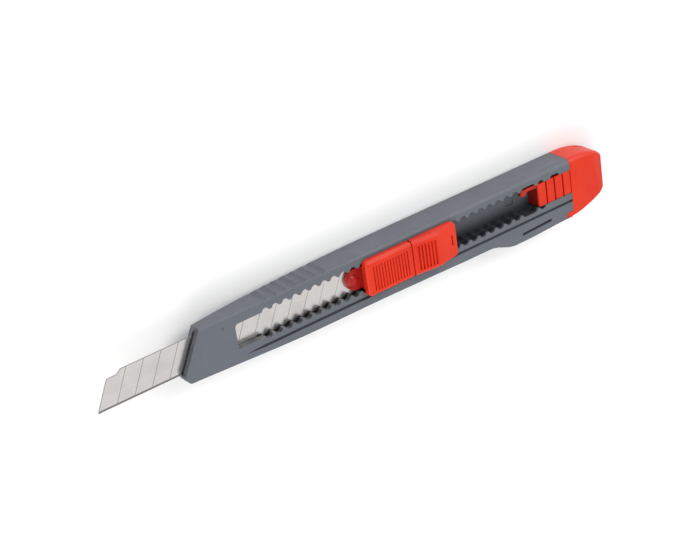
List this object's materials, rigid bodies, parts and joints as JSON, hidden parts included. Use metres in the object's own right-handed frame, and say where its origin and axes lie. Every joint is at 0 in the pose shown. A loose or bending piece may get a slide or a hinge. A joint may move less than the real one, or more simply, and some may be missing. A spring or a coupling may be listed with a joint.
{
  "type": "snap-off utility knife",
  "caption": "Slim retractable snap-off utility knife with toothed rails, a grooved thumb slider with a lock button, and a pull-off end cap.",
  "frame": {"origin": "under the middle of the knife's bounding box, on the face that it rests on", "axes": "+X along the knife from the blade's point towards the end cap, +Y towards the spine, +Z out of the thumb slider"},
  "size_m": [0.1634, 0.0182, 0.012],
  "materials": {
    "handle": "fine spark-eroded texture, blue-grey",
    "red_plastic": "satin orange-red moulding",
    "blade_steel": "ground satin carbon steel",
    "spring_steel": "bright spring strip"
  },
  "bodies": {
    "handle": {"handle_body": "handle"},
    "cap": {"end_cap": "red_plastic"},
    "slider": {"blade": "blade_steel", "blade_carrier": "red_plastic", "click_spring": "spring_steel", "thumb_pad": "red_plastic"},
    "lock": {"lock_button": "red_plastic"}
  },
  "joints": [
    {"name": "blade_slide", "type": "slide", "parent": "handle", "child": "slider", "axis": [-1, 0, 0], "range_m": [-0.0244, 0.0335], "deforming": ["click_spring"]},
    {"name": "lock_slide", "type": "slide", "parent": "slider", "child": "lock", "axis": [1, 0, 0], "range_m": [0, 0.0015]},
    {"name": "cap_pull", "type": "slide", "parent": "handle", "child": "cap", "axis": [1, 0, 0], "range_m": [0, 0.02]}
  ]
}
